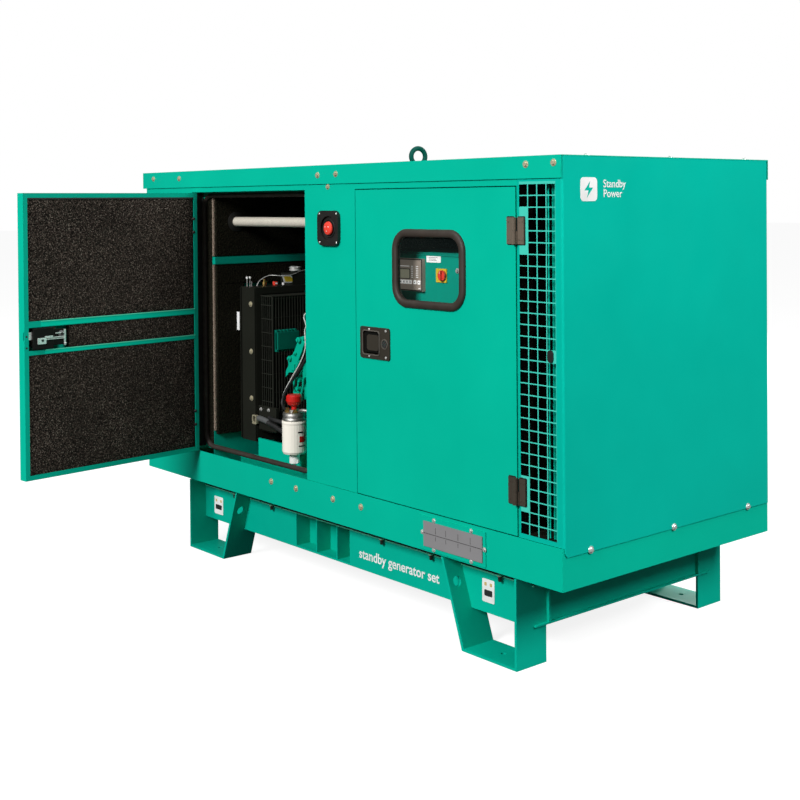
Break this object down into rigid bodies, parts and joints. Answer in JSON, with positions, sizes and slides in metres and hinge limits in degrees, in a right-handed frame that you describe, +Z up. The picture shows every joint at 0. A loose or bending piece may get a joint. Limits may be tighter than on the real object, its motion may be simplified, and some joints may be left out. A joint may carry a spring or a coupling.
{
  "type": "enclosed diesel generator set",
  "caption": "Sheet-metal weather enclosure with hinged service doors around an engine and alternator line, on a base frame with bent-strap legs.",
  "frame": {"origin": "middle of the footprint on the ground, with the left front door standing open as at rest", "axes": "+X along the enclosure from the radiator end to the ventilation end, +Y from the front doors to the rear, +Z up"},
  "size_m": [2.258, 1.687, 1.5083],
  "materials": {
    "alternator": "dark green engine paint",
    "base_frame": "semi-gloss teal green powder coat",
    "base_tray": "semi-gloss teal green powder coat",
    "charging_alternator": "cast aluminium",
    "charging_pulley": "plain steel",
    "control_box": "semi-gloss teal green powder coat",
    "control_module": "dark grey moulded plastic",
    "crankshaft_rotor": "machined steel",
    "engine": "dark green engine paint",
    "exhaust": "satin steel pipe",
    "fan": "black moulded plastic",
    "fan_belt": "black rubber",
    "fan_guard": "black satin paint",
    "filter_canister": "cream painted canister",
    "filter_drain": "brass",
    "filter_head": "cast aluminium",
    "front_frame": "semi-gloss teal green powder coat",
    "fuel_tank": "semi-gloss teal green powder coat",
    "gland_plate": "grey-brown coated plate",
    "isolator_knob": "red plastic",
    "isolator_plate": "yellow plastic",
    "left_door": "semi-gloss teal green powder coat",
    "left_door_foam": "open-cell acoustic foam, brown-black",
    "left_door_seal": "brown-black rubber",
    "left_end_panel": "semi-gloss teal green powder coat",
    "left_latch_housing": "black coated pressed steel",
    "left_latch_key": "bright key cylinder",
    "left_latch_paddle": "black coated pressed steel",
    "left_latch_tongue": "zinc-plated steel",
    "left_lower_hinge_door_leaf": "dark brown-grey coating",
    "left_lower_hinge_frame_leaf": "dark brown-grey coating",
    "left_upper_hinge_door_leaf": "dark brown-grey coating",
    "left_upper_hinge_frame_leaf": "dark brown-grey coating",
    "lifting_eye": "dark painted forged steel",
    "lifting_frame": "semi-gloss teal green powder coat",
    "primer_button": "red plastic",
    "radiator": "black satin paint",
    "radiator_baffle": "semi-gloss teal green powder coat",
    "radiator_cap": "dull plated steel",
    "rear_frame": "semi-gloss teal green powder coat",
    "rear_left_door": "semi-gloss teal green powder coat",
    "rear_right_door": "semi-gloss teal green powder coat",
    "right_door": "semi-gloss teal green powder coat",
    "right_door_foam": "open-cell acoustic foam, brown-black",
    "right_door_seal": "brown-black rubber",
    "right_end_panel": "semi-gloss teal green powder coat",
    "right_latch_housing": "black coated pressed steel",
    "right_latch_key": "bright key cylinder",
    "right_latch_paddle": "black coated pressed steel",
    "right_latch_tongue": "zinc-plated steel",
    "right_lower_hinge_door_leaf": "dark brown-grey coating",
    "right_lower_hinge_frame_leaf": "dark brown-grey coating",
    "right_upper_hinge_door_leaf": "dark brown-grey coating",
    "right_upper_hinge_frame_leaf": "dark brown-grey coating",
    "roof": "semi-gloss teal green powder coat",
    "stop_button": "red moulded plastic",
    "stop_housing": "black moulded plastic",
    "window_gasket": "brown-black rubber",
    "window_pane": "clear laminated glass"
  },
  "bodies": {
    "enclosure": {"alternator": "alternator", "base_frame": "base_frame", "base_tray": "base_tray", "charging_alternator": "charging_alternator", "control_box": "control_box", "control_module": "control_module", "engine": "engine", "exhaust": "exhaust", "fan_belt": "fan_belt", "fan_guard": "fan_guard", "filter_canister": "filter_canister", "filter_head": "filter_head", "front_frame": "front_frame", "fuel_tank": "fuel_tank", "gland_plate": "gland_plate", "isolator_plate": "isolator_plate", "left_door_seal": "left_door_seal", "left_end_panel": "left_end_panel", "left_lower_hinge_frame_leaf": "left_lower_hinge_frame_leaf", "left_upper_hinge_frame_leaf": "left_upper_hinge_frame_leaf", "lifting_eye": "lifting_eye", "lifting_frame": "lifting_frame", "radiator": "radiator", "radiator_baffle": "radiator_baffle", "rear_frame": "rear_frame", "right_door_seal": "right_door_seal", "right_end_panel": "right_end_panel", "right_lower_hinge_frame_leaf": "right_lower_hinge_frame_leaf", "right_upper_hinge_frame_leaf": "right_upper_hinge_frame_leaf", "roof": "roof", "stop_housing": "stop_housing"},
    "left_door_body": {"left_door": "left_door", "left_door_foam": "left_door_foam", "left_latch_housing": "left_latch_housing", "left_lower_hinge_door_leaf": "left_lower_hinge_door_leaf", "left_upper_hinge_door_leaf": "left_upper_hinge_door_leaf"},
    "left_paddle": {"left_latch_paddle": "left_latch_paddle"},
    "left_key": {"left_latch_key": "left_latch_key"},
    "left_tongue": {"left_latch_tongue": "left_latch_tongue"},
    "right_door_body": {"right_door": "right_door", "right_door_foam": "right_door_foam", "right_latch_housing": "right_latch_housing", "right_lower_hinge_door_leaf": "right_lower_hinge_door_leaf", "right_upper_hinge_door_leaf": "right_upper_hinge_door_leaf", "window_gasket": "window_gasket", "window_pane": "window_pane"},
    "right_paddle": {"right_latch_paddle": "right_latch_paddle"},
    "right_key": {"right_latch_key": "right_latch_key"},
    "right_tongue": {"right_latch_tongue": "right_latch_tongue"},
    "rear_left_door_body": {"rear_left_door": "rear_left_door"},
    "rear_right_door_body": {"rear_right_door": "rear_right_door"},
    "stop_button_body": {"stop_button": "stop_button"},
    "isolator_knob_body": {"isolator_knob": "isolator_knob"},
    "crankshaft": {"crankshaft_rotor": "crankshaft_rotor"},
    "fan_body": {"fan": "fan"},
    "charging_pulley_body": {"charging_pulley": "charging_pulley"},
    "radiator_cap_body": {"radiator_cap": "radiator_cap"},
    "primer_body": {"primer_button": "primer_button"},
    "drain_body": {"filter_drain": "filter_drain"}
  },
  "joints": [
    {"name": "left_door_swing", "type": "hinge", "parent": "enclosure", "child": "left_door_body", "pos_m": [-0.759, -0.127, 0.862], "axis": [0, 0, -1], "range_deg": [-84, 66]},
    {"name": "right_door_swing", "type": "hinge", "parent": "enclosure", "child": "right_door_body", "pos_m": [0.957, -0.127, 0.862], "axis": [0, 0, 1], "range_deg": [0, 150]},
    {"name": "rear_left_door_swing", "type": "hinge", "parent": "enclosure", "child": "rear_left_door_body", "pos_m": [-0.759, 0.836, 0.862], "axis": [0, 0, 1], "range_deg": [0, 150]},
    {"name": "rear_right_door_swing", "type": "hinge", "parent": "enclosure", "child": "rear_right_door_body", "pos_m": [0.957, 0.836, 0.862], "axis": [0, 0, -1], "range_deg": [0, 150]},
    {"name": "left_paddle_pull", "type": "hinge", "parent": "left_door_body", "child": "left_paddle", "pos_m": [-0.67442, -0.79783, 0.867], "axis": [0, 0, 1], "range_deg": [0, 40]},
    {"name": "right_paddle_pull", "type": "hinge", "parent": "right_door_body", "child": "right_paddle", "pos_m": [0.285, -0.113, 0.867], "axis": [0, 0, -1], "range_deg": [0, 40]},
    {"name": "left_tongue_slide", "type": "slide", "parent": "left_door_body", "child": "left_tongue", "axis": [-0.1045, 0.9945, 0], "range_m": [0, 0.012]},
    {"name": "right_tongue_slide", "type": "slide", "parent": "right_door_body", "child": "right_tongue", "axis": [1, 0, 0], "range_m": [0, 0.012]},
    {"name": "left_key_turn", "type": "hinge", "parent": "left_door_body", "child": "left_key", "pos_m": [-0.6889, -0.6983, 0.867], "axis": [-0.9945, -0.1045, 0], "range_deg": [0, 90]},
    {"name": "right_key_turn", "type": "hinge", "parent": "right_door_body", "child": "right_key", "pos_m": [0.3855, -0.117, 0.867], "axis": [0, -1, 0], "range_deg": [0, 90]},
    {"name": "stop_button_press", "type": "slide", "parent": "enclosure", "child": "stop_button_body", "axis": [0, 1, 0], "range_m": [0, 0.004]},
    {"name": "isolator_turn", "type": "hinge", "parent": "enclosure", "child": "isolator_knob_body", "pos_m": [0.5575, -0.031, 1.084], "axis": [0, -1, 0], "range_deg": [0, 90]},
    {"name": "crankshaft_spin", "type": "hinge", "parent": "enclosure", "child": "crankshaft", "pos_m": [-0.384, 0.3545, 0.607], "axis": [1, 0, 0], "continuous": true},
    {"name": "fan_spin", "type": "hinge", "parent": "enclosure", "child": "fan_body", "pos_m": [-0.514, 0.3545, 0.732], "axis": [1, 0, 0], "continuous": true},
    {"name": "charging_pulley_spin", "type": "hinge", "parent": "enclosure", "child": "charging_pulley_body", "pos_m": [-0.384, 0.179, 0.822], "axis": [1, 0, 0], "continuous": true},
    {"name": "radiator_cap_turn", "type": "hinge", "parent": "enclosure", "child": "radiator_cap_body", "pos_m": [-0.609, 0.249, 1.046], "axis": [0, 0, 1], "range_deg": [0, 90]},
    {"name": "primer_press", "type": "slide", "parent": "enclosure", "child": "primer_body", "axis": [0, 0, -1], "range_m": [0, 0.008]},
    {"name": "drain_turn", "type": "hinge", "parent": "enclosure", "child": "drain_body", "pos_m": [-0.25, -0.015, 0.392], "axis": [0, 0, 1], "range_deg": [0, 90]}
  ],
  "couplings": [
    {"joint": "left_tongue_slide", "follows": "left_paddle_pull", "m_per_rad": 0.01718},
    {"joint": "right_tongue_slide", "follows": "right_paddle_pull", "m_per_rad": 0.01718},
    {"joint": "fan_spin", "follows": "crankshaft_spin", "ratio": 1.2},
    {"joint": "charging_pulley_spin", "follows": "crankshaft_spin", "ratio": 1.7647}
  ]
}
